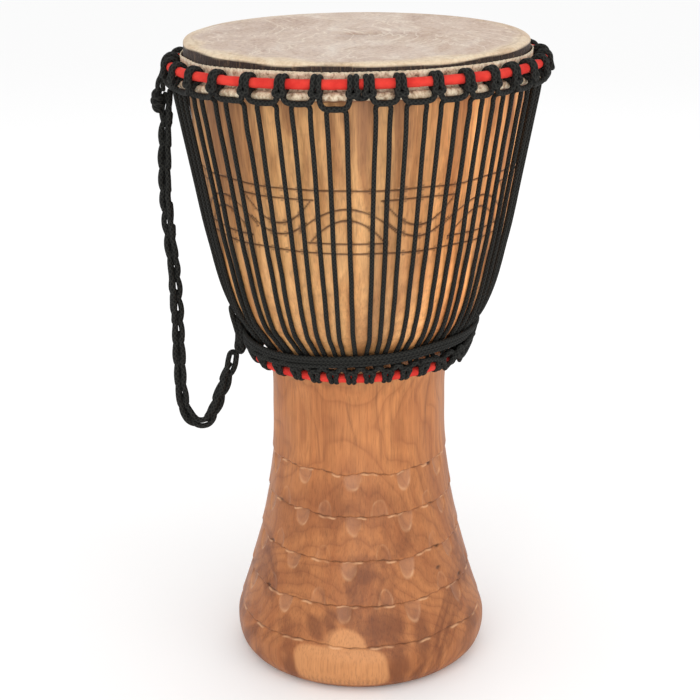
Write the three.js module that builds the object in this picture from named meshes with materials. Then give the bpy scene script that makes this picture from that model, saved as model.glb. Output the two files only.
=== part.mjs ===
// A rope-tuned goblet hand drum (djembe), 600 mm tall with a 12 inch head.
// Millimetres, +Z up, the origin at the middle of the foot's resting face.
// Angles go round the drum from the front (-Y), positive towards +X.
import * as THREE from "three";

// ---- driving dimensions ----
const HEIGHT = 600; // floor to playing face
const ROUND_STEPS = 40; // facets round the shell, the skin and the rings
const ROPE_R = 1.9; // the 4 mm tuning rope, a little flattened
const ROPE_SIDES = 4;

const CROWN = { r: 167, z: 580.9, rod: 2.8, cloth: 4.3 }; // ring above the flesh ring
const FLESH = { r: 163.5, z: 569.2, rod: 2.4 }; // ring that the skin is rolled round
const BASE = { r: 98.5, z: 309.5, rod: 2.8, cloth: 4.3 }; // ring under the bowl
const CLOTH_THICK = 1.0;
const CLOTH_SLIT_DEG = 40; // the lapped edge of the cloth, on the side towards the shell

const SKIN_THICK = 0.8;
const SKIN_ROD_GAP = 0.3;
const HEAD_FLAT_R = 149.8; // the head is flat inside this radius
const COLLAR_TOP_Z = 589.3;

// The hoops are pulled down unevenly: they stand a little higher in front and on the right.
const HOOP_RISE_FRONT = 0.0262; // mm up for each mm towards the front
const HOOP_RISE_RIGHT = 0.0103; // and towards the right
const LEAN_ABOVE_Z = 430; // nothing leans below this height
const LEAN_FULL_Z = 556;
const LEAN_NONE_Z = 595.5; // the rim of the head is level
const LEAN_RIM_Z = 589.5;

// The knots are tied by hand, so the ones at the front are not quite evenly spaced.
const FRONT_STATIONS = [-79.5, -67.5, -55.8, -44.3, -32.6, -21.6, -11.4, 0.8, 11.6, 22.2, 32, 41.2, 50.3, 60.3, 71.5, 83];
const STATIONS_BEHIND = 16;
// and the legs of the tuning rope end at feet that stand closer together
const FRONT_FEET = [-78.5, -65, -51.5, -38.5, -27.6, -17.8, -8.6, 0.4, 9.4, 18.6, 28.4, 39.4, 50.6, 62, 73.5, 84.8];
const DOUBLE_STATION = 7; // the loop cord starts and ends in two hitches side by side
const DOUBLE_HALF_DEG = 2.1;
const LEG_HALF_DEG = 2.4; // rope legs stand this far to each side of a station at the top
const DOUBLE_LEG_HALF_DEG = 4.2;
const LEG_FOOT_HALF_DEG = 1.7; // and this far to each side of a foot
const LEG_SWERVE = 0.7; // share of a leg's sideways travel that is made under the waist wraps

const WRAP = { turns: 4, steps: 36, lowZ: 320.4, pitchZ: 4, lowR: 105.8, highR: 113 }; // rope wound round the waist
const STRAP_R = 6;
const STRAP_SIDES = 8;

// Shell outline outside, from the foot to the bearing edge: [radius, height]
const SHELL_OUTSIDE = [
  [108.7, 0], [112.6, 2.5], [115.5, 5], [119.6, 11], [121.8, 20], [122.2, 30], [121.2, 37], [116.9, 50],
  [104.2, 95], [92.0, 145], [84.2, 202], [82.0, 245], [82.5, 285], [87.5, 310], [97.5, 324],
  [107.5, 340], [117.2, 355], [131.4, 400], [140.8, 460], [148.9, 520], [152.9, 570],
  [153.8, 586], [153.8, 595.5], [152.4, 597.8], [149.6, 598.8],
];
// Shell outline inside, from the bearing edge down to the foot
const SHELL_INSIDE = [
  [143, 592.5], [138.5, 584], [134.5, 520], [127.5, 460], [116, 400], [98, 350], [76, 315],
  [64, 285], [60, 245], [62, 200], [72, 140], [85, 70], [92.5, 0],
];

// Strap route, [x, z] in the plane y = 0, from under the crown ring to beside the base ring
const STRAP_ROUTE = [
  [-171.6, 551], [-173.4, 524], [-175.6, 500], [-176.8, 478], [-177, 458], [-176, 438], [-174.5, 415],
  [-173.2, 390], [-172.4, 365], [-171.9, 340], [-171.5, 315], [-171.1, 290], [-170.8, 262],
  [-167, 241], [-158, 230], [-147.5, 231], [-139.5, 244], [-131.5, 263], [-124.5, 283], [-119.2, 300],
];
const STRAP_TIE_DEG = -88; // the cord that ties the strap to the crown ring, seen from above

const MATERIALS = {
  wood: new THREE.MeshStandardMaterial({ color: 0xb9774a, roughness: 0.55 }),
  skin: new THREE.MeshStandardMaterial({ color: 0xcdb9a4, roughness: 0.6 }),
  steel: new THREE.MeshStandardMaterial({ color: 0x8a8a88, roughness: 0.4, metalness: 1 }),
  cloth: new THREE.MeshStandardMaterial({ color: 0xd22a2a, roughness: 0.9 }),
  rope: new THREE.MeshStandardMaterial({ color: 0x1c1d1f, roughness: 0.85 }),
};

// ---- helpers ----
const rad = (deg) => (deg * Math.PI) / 180;

// A point at an angle from the front, a radius and a height.
function around(deg, r, z) {
  return new THREE.Vector3(r * Math.sin(rad(deg)), -r * Math.cos(rad(deg)), z);
}

// Points on a circle in an outline, from one angle to another (0 = outwards, 90 = up).
function arc(centre, radius, fromDeg, toDeg, steps) {
  const points = [];
  for (let i = 0; i <= steps; i++) {
    const a = rad(fromDeg + ((toDeg - fromDeg) * i) / steps);
    points.push([centre.r + radius * Math.cos(a), centre.z + radius * Math.sin(a)]);
  }
  return points;
}

function mesh(name, geometry, material) {
  const made = new THREE.Mesh(geometry, material);
  made.name = name;
  return made;
}

// Turns a closed outline of [radius, height], anticlockwise, about the Z axis.
function turned(outline, steps = ROUND_STEPS) {
  const points = outline.map(([r, z]) => new THREE.Vector2(r, z));
  if (points[0].x > 0) points.push(points[0].clone());
  const geometry = new THREE.LatheGeometry(points, steps);
  geometry.rotateX(Math.PI / 2);
  return geometry;
}

// Leans a geometry's upper part with the hoops.
function leaned(geometry) {
  const at = geometry.attributes.position;
  const clamp = (share) => Math.min(Math.max(share, 0), 1);
  for (let i = 0; i < at.count; i++) {
    const z = at.getZ(i);
    const underRim = clamp((LEAN_NONE_Z - z) / (LEAN_NONE_Z - LEAN_RIM_Z));
    const share = Math.min(underRim, clamp((z - LEAN_ABOVE_Z) / (LEAN_FULL_Z - LEAN_ABOVE_Z)));
    at.setZ(i, z + share * (HOOP_RISE_RIGHT * at.getX(i) - HOOP_RISE_FRONT * at.getY(i)));
  }
  geometry.computeVertexNormals();
  return geometry;
}

// A route whose sweep puts one section on each of its points.
class Route extends THREE.Curve {
  constructor(points) {
    super();
    this.points = points;
  }
  getPoint(t, target = new THREE.Vector3()) {
    const at = t * (this.points.length - 1);
    const i = Math.min(Math.floor(at + 1e-6), this.points.length - 2);
    return target.lerpVectors(this.points[i], this.points[i + 1], at - i);
  }
  getTangent(t, target = new THREE.Vector3()) {
    const i = Math.round(t * (this.points.length - 1));
    const after = this.points[Math.min(i + 1, this.points.length - 1)];
    const before = this.points[Math.max(i - 1, 0)];
    return target.subVectors(after, before).normalize();
  }
  getPointAt(u, target) {
    return this.getPoint(u, target);
  }
  getTangentAt(u, target) {
    return this.getTangent(u, target);
  }
}

// A cord of a round section swept along its points.
function cord(points, radius = ROPE_R, sides = ROPE_SIDES) {
  const section = new THREE.Shape();
  for (let i = 0; i < sides; i++) {
    const a = (2 * Math.PI * i) / sides;
    if (i === 0) section.moveTo(radius, 0);
    else section.lineTo(radius * Math.cos(a), radius * Math.sin(a));
  }
  section.closePath();
  return new THREE.ExtrudeGeometry(section, {
    steps: points.length - 1,
    extrudePath: new Route(points),
    curveSegments: 1,
  });
}

// ---- stations round the rings ----
// The angles in front, and evenly spaced ones behind.
function allRound(front) {
  const first = front[0];
  const last = front[front.length - 1];
  const pitch = (360 + first - last) / (STATIONS_BEHIND + 1);
  const behind = Array.from({ length: STATIONS_BEHIND }, (_, i) => last + pitch * (i + 1));
  return [...front, ...behind];
}

const STATIONS = allRound(FRONT_STATIONS);
const FEET = allRound(FRONT_FEET);

// The angle after the i-th one, going on round past the last.
function following(angles, i) {
  return i + 1 < angles.length ? angles[i + 1] : angles[0] + 360;
}

// Radius of the shell's outside at a height.
function shellRadius(z) {
  const above = SHELL_OUTSIDE.findIndex(([, height]) => height >= z);
  const [r0, z0] = SHELL_OUTSIDE[Math.max(above - 1, 0)];
  const [r1, z1] = SHELL_OUTSIDE[above];
  return z1 === z0 ? r1 : r0 + ((r1 - r0) * (z - z0)) / (z1 - z0);
}

// ---- pieces ----
function shell() {
  return turned([...SHELL_OUTSIDE, ...SHELL_INSIDE]);
}

// The skin lies over the bearing edge, comes down to the flesh ring, goes under it,
// back over it, and stands up inside the crown ring as a collar.
function drumhead() {
  const wrapR = FLESH.rod + SKIN_ROD_GAP;
  const rodSide = [
    [0, HEIGHT], [HEAD_FLAT_R, HEIGHT], [153.6, 598.9], [155.2, 596.2], [156.1, 580], [156.6, 576.6], [158.2, 572.6],
    ...arc(FLESH, wrapR, 215, 475, 6),
    [159.3, 573.7], [157.3, 577.2], [157, CROWN.z], [157.1, COLLAR_TOP_Z],
  ];
  const otherSide = [
    [157.9, COLLAR_TOP_Z], [157.8, CROWN.z], [158.1, 577.6], [160, 574.4],
    ...arc(FLESH, wrapR + SKIN_THICK, 470, 215, 6),
    [157.3, 572.1], [155.8, 576.2], [155.3, 580], [154.4, 595.9], [153, 598.2],
    [HEAD_FLAT_R - 0.2, HEIGHT - SKIN_THICK], [0, HEIGHT - SKIN_THICK],
  ];
  return turned([...rodSide, ...otherSide].reverse());
}

function rod(ring) {
  return turned(arc(ring, ring.rod, 0, 300, 5));
}

// Cloth wound round a ring's rod: a tube with a slit along it.
function cloth(ring) {
  const from = 180 + CLOTH_SLIT_DEG / 2 - 360;
  const to = 180 - CLOTH_SLIT_DEG / 2;
  return turned([
    ...arc(ring, ring.cloth, from, to, 6),
    ...arc(ring, ring.cloth - CLOTH_THICK, to, from, 6),
  ]);
}

// One cow hitch over the crown ring. Each row is [mm to the side, radius, height].
function crownHitch(deg) {
  const half = [
    [7.6, 168.8, 560.5], [2.6, 169.6, 569.1], [2.4, 168.2, 573.5], [2.3, 161.8, 575.5], [2.3, 160.2, CROWN.z],
    [2.3, 162.2, 587.3], [2.5, 172, 587.3], [3.6, 174.2, 580.7], [3.3, 173.4, 575.7],
  ];
  const place = ([side, r, z], sign) => around(deg + (sign * side * 180) / (Math.PI * CROWN.r), r, z);
  const there = half.map((row) => place(row, -1));
  const back = half.map((row) => place(row, 1)).reverse();
  return [...there, ...back];
}

// The cord tied round the crown ring, hanging in a scallop between hitches.
function crownLoops() {
  const points = [];
  STATIONS.forEach((deg, i) => {
    if (i === DOUBLE_STATION) {
      const left = crownHitch(deg - DOUBLE_HALF_DEG);
      const right = crownHitch(deg + DOUBLE_HALF_DEG);
      points.push(...left.slice(0, -1), ...right.slice(1));
    } else {
      points.push(...crownHitch(deg));
    }
  });
  return cord(points);
}

// The cord tied round the base ring: two strands at each knot, a low scallop between knots.
function baseLoops() {
  const points = [];
  FEET.forEach((deg, i) => {
    const half = [[2.7, 105.4, 311], [2.7, 102, 303.1], [2.7, 95.8, 302.7], [2.5, 91.9, 308.3]];
    const middle = (deg + following(FEET, i)) / 2;
    const place = ([side, r, z], sign) => around(middle + (sign * side * 180) / (Math.PI * BASE.r), r, z);
    points.push(around(deg, 105.1, 316.1));
    points.push(...half.map((row) => place(row, -1)));
    points.push(...half.map((row) => place(row, 1)).reverse());
  });
  return cord(points);
}

// One leg of the tuning rope, from its foot to its top, leaning from one angle to another.
function leg(footDeg, topDeg) {
  const onShell = (z, slope) => shellRadius(z) + 2.4 / slope;
  const rows = [
    [318.3, 101.2], [325, onShell(325, 0.76)], [343, onShell(343, 0.84)], [355, onShell(355, 0.87)],
    [400, onShell(400, 0.97)], [430, 140.4], [558.7, 164.2],
  ];
  return rows.map(([z, r]) => {
    const low = Math.min((z - 318.3) / (343 - 318.3), 1) * LEG_SWERVE;
    const high = (Math.max(z - 343, 0) / (558.7 - 343)) * (1 - LEG_SWERVE);
    return around(footDeg + (topDeg - footDeg) * (low + high), r, z);
  });
}

// The tuning rope runs up to one scallop and down to the next, all the way round.
function tuningRope() {
  const points = [];
  STATIONS.forEach((deg, i) => {
    const half = i === DOUBLE_STATION ? DOUBLE_LEG_HALF_DEG : LEG_HALF_DEG;
    const nextHalf = (i + 1) % STATIONS.length === DOUBLE_STATION ? DOUBLE_LEG_HALF_DEG : LEG_HALF_DEG;
    points.push(...leg(FEET[i] + LEG_FOOT_HALF_DEG, deg + half));
    points.push(...leg(following(FEET, i) - LEG_FOOT_HALF_DEG, following(STATIONS, i) - nextHalf).reverse());
  });
  return cord(points);
}

// Spare rope wound over the legs above the base ring.
function waistWraps() {
  const points = [];
  for (let i = 0; i <= WRAP.turns * WRAP.steps; i++) {
    const z = WRAP.lowZ + (WRAP.pitchZ * i) / WRAP.steps;
    const r = WRAP.lowR + ((WRAP.highR - WRAP.lowR) * i) / (WRAP.turns * WRAP.steps);
    points.push(around(80 + (360 * i) / WRAP.steps, r, z));
  }
  return cord(points);
}

function strap() {
  return cord(STRAP_ROUTE.map(([x, z]) => new THREE.Vector3(x, 0, z)), STRAP_R, STRAP_SIDES);
}

// The cord that the strap hangs from: over the crown ring, outside the scallops.
function strapTie() {
  const rows = [
    [177.6, 559.5], [178, 564], [178, 580.9], [173, 587.3], [162.5, 587.7], [160.3, CROWN.z], [162, 575.5],
    [168.2, 573.7], [172.9, 567.1], [173.4, 559.5],
  ];
  return cord(rows.map(([r, z]) => around(STRAP_TIE_DEG, r, z)));
}

// A knot, as a ball squashed to its half sizes [outwards, along the rim, up].
function knot(name, deg, r, z, halves) {
  const made = mesh(name, new THREE.SphereGeometry(1, 10, 7).scale(...halves), MATERIALS.rope);
  made.position.copy(around(deg, r, z));
  made.rotation.z = rad(deg - 90);
  return made;
}

// ---- the drum ----
const djembe = new THREE.Group();
djembe.name = "djembe";
djembe.add(
  mesh("shell", shell(), MATERIALS.wood),
  mesh("drumhead_skin", leaned(drumhead()), MATERIALS.skin),
  mesh("flesh_ring", leaned(rod(FLESH)), MATERIALS.steel),
  mesh("crown_ring_rod", leaned(rod(CROWN)), MATERIALS.steel),
  mesh("crown_ring_cloth", leaned(cloth(CROWN)), MATERIALS.cloth),
  mesh("base_ring_rod", rod(BASE), MATERIALS.steel),
  mesh("base_ring_cloth", cloth(BASE), MATERIALS.cloth),
  mesh("crown_loop_cord", leaned(crownLoops()), MATERIALS.rope),
  mesh("base_loop_cord", baseLoops(), MATERIALS.rope),
  mesh("tuning_rope", leaned(tuningRope()), MATERIALS.rope),
  mesh("waist_wraps", waistWraps(), MATERIALS.rope),
  mesh("carry_strap", strap(), MATERIALS.rope),
  mesh("strap_top_tie", leaned(strapTie()), MATERIALS.rope),
  knot("strap_top_knot", -90, 181.8, 543, [3.2, 6, 10.5]),
  knot("strap_bottom_knot", -91.5, 114.8, 310.6, [4.3, 5.5, 6.5]),
  knot("rope_end_knot", 66, 114.8, 316.4, [3.6, 9, 7.5]),
);

export default djembe;
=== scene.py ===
"""A rope-tuned djembe: carved shell, rawhide head, wound rings, braided rope and a chain-knotted strap.

Sizes are in millimetres and angles in degrees round the drum from the front (-Y), positive towards +X.
"""
import math

import bpy
import numpy as np
from mathutils import Matrix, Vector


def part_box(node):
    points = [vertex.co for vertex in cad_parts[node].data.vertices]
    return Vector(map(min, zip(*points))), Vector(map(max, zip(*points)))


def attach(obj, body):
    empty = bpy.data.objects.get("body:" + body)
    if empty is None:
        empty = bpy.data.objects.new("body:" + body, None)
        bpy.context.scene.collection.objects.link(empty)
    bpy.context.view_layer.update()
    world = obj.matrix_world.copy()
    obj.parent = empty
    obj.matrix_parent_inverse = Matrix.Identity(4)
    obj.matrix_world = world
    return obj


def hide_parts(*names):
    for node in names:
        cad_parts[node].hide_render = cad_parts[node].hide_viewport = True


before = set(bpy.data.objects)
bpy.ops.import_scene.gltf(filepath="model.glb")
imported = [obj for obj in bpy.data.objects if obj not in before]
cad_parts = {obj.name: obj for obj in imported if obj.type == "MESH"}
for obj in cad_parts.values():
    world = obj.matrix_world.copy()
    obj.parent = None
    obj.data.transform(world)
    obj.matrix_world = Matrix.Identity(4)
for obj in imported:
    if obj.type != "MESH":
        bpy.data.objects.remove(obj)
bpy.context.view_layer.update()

# ---- driving dimensions, as in the CAD model ----
MM = 0.001
HEAD_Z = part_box("drumhead_skin")[1][2] / MM
CROWN_R, CROWN_Z = 167, 580.9
FLESH_R, FLESH_Z = 163.5, 569.2
BASE_R, BASE_Z = 98.5, 309.5
CLOTH_R = 4.3
LOOP_CORD_R = 2.2
ROPE_R = 2.1
STRAP_CORD_R = 2.7
SKIN_THICK = 0.8

# The hoops are pulled down unevenly: they stand a little higher in front and on the right.
HOOP_RISE_FRONT = 0.0262
HOOP_RISE_RIGHT = 0.0103
HOOP_SAG = 1.8
LEAN_ABOVE_Z, LEAN_FULL_Z = 430, 556.0
LEAN_NONE_Z, LEAN_RIM_Z = 595.5, 589.5

# The lower ring and the ropes at the waist ride a little higher on the right.
BASE_RISE_RIGHT = 0.022
BASE_DROP = 0.5
BASE_LEAN_NONE_Z, BASE_LEAN_FADE = 350, 30.0

# Angles in front, of the hitches on the crown ring and of the rope's feet at the base ring.
FRONT_STATIONS = [-79.5, -67.5, -55.8, -44.3, -32.6, -21.6, -11.4, 0.8,
                  11.6, 22.2, 32, 41.2, 50.3, 60.3, 71.5, 83]
FRONT_FEET = [-78.5, -65, -51.5, -38.5, -27.6, -17.8, -8.6, 0.4,
              9.4, 18.6, 28.4, 39.4, 50.6, 62, 73.5, 84.8]
STATIONS_BEHIND = 16
DOUBLE_STATION = 7
DOUBLE_HALF = 2.1
LEG_HALF = 2.4
DOUBLE_LEG_HALF = 4.2
LEG_FOOT_HALF = 1.7
LEG_SWERVE = 0.7
# the legs leave the shell here and go straight up to their scallops
LEG_LEAVES_R, LEG_LEAVES_Z = 140.6, 430.0
LEG_SLOPE = 0.185

# The scallops hang at one height, but the one left of the double hitch is slack.
SCALLOP_R, SCALLOP_Z = 169.7, 560.5
SCALLOP_RISE, SLACK_RISE = 4.8, 0.5
SLACK_DEG = -6.0

# The spare rope round the waist, and how far it rides above or below level, by angle from the front.
WAIST_TURNS, WAIST_FROM_DEG = 3.35, 80
WAIST_LOW_Z, WAIST_PITCH = 321.8, 4.1
WAIST_DEG = [-180, -130, -90, -72, -38, -17, 0, 19, 37, 60, 86, 130, 180]
WAIST_RISE = [0, -3, -6.5, -7, -6, -2.5, 0, 2, 5.5, 4.5, 1.5, 0, 0]

SHELL_OUTSIDE = [
    (108.7, 0), (112.6, 2.5), (115.5, 5), (119.6, 11), (121.8, 20), (122.2, 30), (121.2, 37), (116.9, 50),
    (104.2, 95), (92, 145), (84.2, 202), (82, 245), (82.5, 285), (87.5, 310), (97.5, 324),
    (107.5, 340), (117.2, 355), (131.4, 400), (140.8, 460), (148.9, 520), (152.9, 570),
    (153.8, 586), (153.8, 595.5), (152.4, 597.8), (149.6, 598.8),
]
SHELL_INSIDE = [
    (143, 592.5), (138.5, 584), (134.5, 520), (127.5, 460), (116, 400), (98, 350), (76, 315),
    (64, 285), (60, 245), (62, 200), (72, 140), (85, 70), (92.5, 0),
]
STRAP_ROUTE = [
    (-171.6, 551), (-173.4, 524), (-175.6, 500), (-176.8, 478), (-177, 458), (-176, 438), (-174.5, 415),
    (-173.2, 390), (-172.4, 365), (-171.9, 340), (-171.5, 315), (-171.1, 290), (-170.8, 262),
    (-167, 241), (-158, 230), (-147.5, 231), (-139.5, 244), (-131.5, 263), (-124.5, 283), (-119.2, 300),
]
STRAP_TIE_DEG = -88

# ---- carving ----
KNIFE_W = 0.85
BAND_TOP_Z, BAND_BOTTOM_Z = 491.6, 435.2
# the second ring is cut only between arches, and the third only under them: height, half width in degrees
BAND_SECOND = (482.8, 14.5)
BAND_UNDER_ARCH = (444.2, 14.2)
# lines of the arches and dips: (height, bow in mm for a square degree, half width in degrees, thinness)
ARCHES = [(475, 0.072, 17.5, 0.85), (464.9, 0.115, 13.9, 0.75)]
DIPS = [(459.2, 0.13, 13.4, 0.75), (449.2, 0.10, 11.4, 0.8)]
BAND_REPEATS = 7
BAND_ARCH_DEG = -4.0
TIER_Z = [208, 167.2, 124.8, 84, 47]
TIER_SHIFT = [0, -0.5, -3, -3.6, 0]
GOUGE_FRONT = [-38.5, -4.6, 30]
GOUGES_BEHIND = 8
# a scoop of the gouge: half width, height (below 0 where it hangs) and depth
HANGING_SCOOP = (8.2, -17.5, 2.3)
STANDING_SCOOP = (7.4, 15, 1.3)
STANDING_SHIFT = 17.2
# where the knife dug in, painted dark as shade in the holes: (degrees, height)
DIGS = [(-58, 168), (-60, 126), (-56, 84), (52, 206), (50, 125), (47, 106), (64, 88), (104, 167),
        (150, 124), (-118, 167), (-150, 84), (-100, 125)]

# ---- wood ----
PITH_AT = (18, 46)
RING_PITCH = 4.6
WIDE_RINGS = 4.3  # fine growth rings in each wide one
RING_WANDER = 55.0
# the pale patch of sapwood low in front and the dome over it: (degrees, height, half width, half height)
SAPWOOD = (-8.3, 25.5, 22, 20.5)
SAPWOOD_DOME = (-8.5, 45, 11.5, 20)
SAPWOOD_SLANT = 18.0  # mm up for each degree that the patch leans to the left
# dark patches of heartwood near the floor: (degrees, height, half width in degrees, half height)
SHADOWS = [(-33, 18, 5, 16), (17, 24, 6, 20), (-20, 64, 8, 12), (10, 64, 13, 12), (1, 112, 9, 8),
           (30, 52, 5, 26), (-9, 76, 8, 8), (64, 40, 7, 14), (128, 30, 9, 18), (-110, 60, 8, 14),
           (178, 90, 9, 12)]
# dark hairlines down the stem: (degrees, height) at the bottom, then at the top
VEINS = [(14.4, 211, 10, 303), (-1.6, 230, -9.3, 284), (46, 222, 52, 305), (-26, 214, -31, 262),
         (98, 215, 92, 300), (150, 212, 161, 285), (-120, 215, -112, 303), (-66, 214, -70, 290)]

# ---- light ----
KEY_W, FILL_W, BACK_W, FRONT_W = 6, 8, 5, 16.0
SKY = 1.03
FLOOR_HALF, FLOOR_Z = 9000, -0.5

# ---- camera ----
CAMERA_AT = (-8.3, -1500, 821.6)
CAMERA_PITCH = 19.12
CAMERA_ROLL = -0.49
CAMERA_LENS = 85.6


# ---- geometry helpers ----
def around(deg, r, z):
    """Points at angles from the front, radii and heights."""
    a = np.radians(deg)
    return np.stack(np.broadcast_arrays(r * np.sin(a), -r * np.cos(a), z), axis=-1).astype(float)


def clamp(x):
    return np.clip(x, 0, 1)


def cubic(t, low, high, slope_low, slope_high):
    """The curve from low to high as t goes from 0 to 1, with these slopes at its ends."""
    return (low * (2 * t**3 - 3 * t**2 + 1) + high * (3 * t**2 - 2 * t**3)
            + slope_low * (t**3 - 2 * t**2 + t) + slope_high * (t**3 - t**2))


def hermite(x, xs, ys):
    """Smooth curve through (xs, ys), with xs rising, and level where ys turns back."""
    xs = np.asarray(xs, float)
    ys = np.asarray(ys, float)
    chord = np.diff(ys) / np.diff(xs)
    slope = np.concatenate([chord[:1], (chord[1:] + chord[:-1]) / 2, chord[-1:]])
    flat = np.concatenate([[False], chord[1:] * chord[:-1] <= 0, [False]])
    slope[flat] = 0
    i = np.clip(np.searchsorted(xs, x, side="right") - 1, 0, len(xs) - 2)
    h = xs[i + 1] - xs[i]
    return cubic(clamp((x - xs[i]) / h), ys[i], ys[i + 1], h * slope[i], h * slope[i + 1])


def smooth_path(points, step):
    """A smooth curve through points, with a point every step along it."""
    p = np.asarray(points, float)
    gaps = np.linalg.norm(np.diff(p, axis=0), axis=1)
    t = np.concatenate([[0], np.cumsum(np.maximum(gaps, 1e-6) ** 0.75)])
    slope = np.gradient(p, t, axis=0)
    fine = np.linspace(0, t[-1], max(len(p) * 12, 8))
    i = np.clip(np.searchsorted(t, fine, side="right") - 1, 0, len(t) - 2)
    h = (t[i + 1] - t[i])[:, None]
    share = (fine - t[i])[:, None] / h
    return even_points(cubic(share, p[i], p[i + 1], h * slope[i], h * slope[i + 1]), step)


def even_points(points, step):
    """The same line with its points a step apart."""
    gaps = np.linalg.norm(np.diff(points, axis=0), axis=1)
    along = np.concatenate([[0], np.cumsum(gaps)])
    wanted = np.linspace(0, along[-1], max(int(round(along[-1] / step)), 2) + 1)
    return np.stack([np.interp(wanted, along, points[:, k]) for k in range(3)], axis=1)


def unit(v):
    return v / np.maximum(np.linalg.norm(v, axis=-1, keepdims=True), 1e-12)


def frames_along(path):
    """Tangent and two cross directions at each point, without twist."""
    tangent = unit(np.gradient(path, axis=0))
    side = np.cross(tangent[0], (0, 0, 1))
    if np.linalg.norm(side) < 0.1:
        side = np.cross(tangent[0], (0, 1, 0))
    sides = np.empty_like(path)
    for i, t in enumerate(tangent):
        side = side - t * side.dot(t)
        side = side / np.linalg.norm(side)
        sides[i] = side
    return tangent, sides, np.cross(tangent, sides)


def grid_faces(rows, columns, wrap_rows=False):
    """Quads over a grid of vertices numbered row by row, whose columns close into a ring."""
    r = np.arange(rows if wrap_rows else rows - 1)
    r, c = (a.ravel() for a in np.meshgrid(r, np.arange(columns), indexing="ij"))
    r2 = (r + 1) % rows
    c2 = (c + 1) % columns
    return np.stack([r * columns + c, r * columns + c2, r2 * columns + c2, r2 * columns + c], axis=1)


def make_piece(name, vertices, faces, material, uv=None, caps=(), values=None):
    """An object from vertices in mm and quads, with n-gon caps, a UV for each corner and named values."""
    faces = [tuple(f) for f in np.asarray(faces).tolist()] + [tuple(c) for c in caps]
    mesh = bpy.data.meshes.new(name)
    mesh.from_pydata((np.asarray(vertices).reshape(-1, 3) * MM).tolist(), [], faces)
    mesh.update()
    mesh.shade_smooth()
    if uv is not None:
        layer = mesh.uv_layers.new(name="UVMap")
        flat = np.zeros((len(mesh.loops), 2), np.float32)
        corners = np.asarray(uv, np.float32).reshape(-1, 2)
        flat[:len(corners)] = corners
        layer.data.foreach_set("uv", flat.ravel())
    for key, data in (values or {}).items():
        attribute = mesh.attributes.new(key, "FLOAT", "POINT")
        attribute.data.foreach_set("value", np.asarray(data, np.float32).ravel())
    mesh.materials.append(material)
    piece = bpy.data.objects.new(name, mesh)
    bpy.context.scene.collection.objects.link(piece)
    return piece


def stands_for(piece, body, node):
    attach(piece, body)
    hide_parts(node)
    return piece


def tube(path, radius, sides):
    """Vertices, quads, UVs (turns round, diameters along) and end caps of a round cord along a path."""
    _, side, up = frames_along(path)
    a = np.linspace(0, 2 * math.pi, sides, endpoint=False)
    across = np.cos(a)[None, :, None] * side[:, None] + np.sin(a)[None, :, None] * up[:, None]
    ring = path[:, None] + radius * across
    steps = np.linalg.norm(np.diff(path, axis=0), axis=1)
    along = np.concatenate([[0], np.cumsum(steps)]) / (2 * radius)
    faces = grid_faces(len(path), sides)
    u0 = (faces[:, 0] % sides) / sides
    v0 = along[faces[:, 0] // sides]
    v1 = along[faces[:, 3] // sides]
    u1 = u0 + 1 / sides
    uv = np.stack([np.stack(corner, 1) for corner in ((u0, v0), (u1, v0), (u1, v1), (u0, v1))], 1)
    last = (len(path) - 1) * sides
    caps = [list(range(sides))[::-1], list(range(last, last + sides))]
    return ring.reshape(-1, 3), faces, uv, caps


def rope_piece(name, paths, radius, sides, body, node):
    """One object of one or more round cords, in place of a CAD node."""
    vertices, faces, uvs, caps = [], [], [], []
    count = 0
    for path in paths:
        v, f, uv, ends = tube(path, radius, sides)
        vertices.append(v)
        faces.append(f + count)
        uvs.append(uv)
        caps += [[i + count for i in end] for end in ends]
        count += len(v)
    piece = make_piece(name, np.concatenate(vertices), np.concatenate(faces), ROPE,
                       uv=np.concatenate(uvs), caps=caps)
    return stands_for(piece, body, node)


# ---- stations ----
def all_round(front):
    """The angles in front, and evenly spaced ones behind."""
    pitch = (360 + front[0] - front[-1]) / (STATIONS_BEHIND + 1)
    return front + [front[-1] + pitch * (i + 1) for i in range(STATIONS_BEHIND)]


STATIONS = all_round(FRONT_STATIONS)
FEET = all_round(FRONT_FEET)


def following(angles, i):
    return angles[i + 1] if i + 1 < len(angles) else angles[0] + 360


def lean(points):
    """Points of a piece at the head, with the hoops' lean added to their heights."""
    z = points[..., 2]
    under_rim = clamp((LEAN_NONE_Z - z) / (LEAN_NONE_Z - LEAN_RIM_Z))
    share = np.minimum(under_rim, clamp((z - LEAN_ABOVE_Z) / (LEAN_FULL_Z - LEAN_ABOVE_Z)))
    leant = points.copy()
    sag = HOOP_SAG * (points[..., 0] / CROWN_R) ** 2
    leant[..., 2] += share * (HOOP_RISE_RIGHT * points[..., 0] - HOOP_RISE_FRONT * points[..., 1] - sag)
    return leant


def base_lean(points):
    """Points of a piece at the waist, with the lower ring's lean added to their heights."""
    rise = BASE_RISE_RIGHT * points[..., 0] - BASE_DROP
    leant = points.copy()
    leant[..., 2] += rise * clamp((BASE_LEAN_NONE_Z - points[..., 2]) / BASE_LEAN_FADE)
    return leant


def leg_half(i):
    return DOUBLE_LEG_HALF if i % len(STATIONS) == DOUBLE_STATION else LEG_HALF


def hitch_angles():
    angles = []
    for i, deg in enumerate(STATIONS):
        angles += [deg - DOUBLE_HALF, deg + DOUBLE_HALF] if i == DOUBLE_STATION else [deg]
    return angles


def shell_radius(z):
    heights = [h for _, h in SHELL_OUTSIDE]
    return hermite(np.asarray(z, float), heights, [r for r, _ in SHELL_OUTSIDE])


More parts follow.
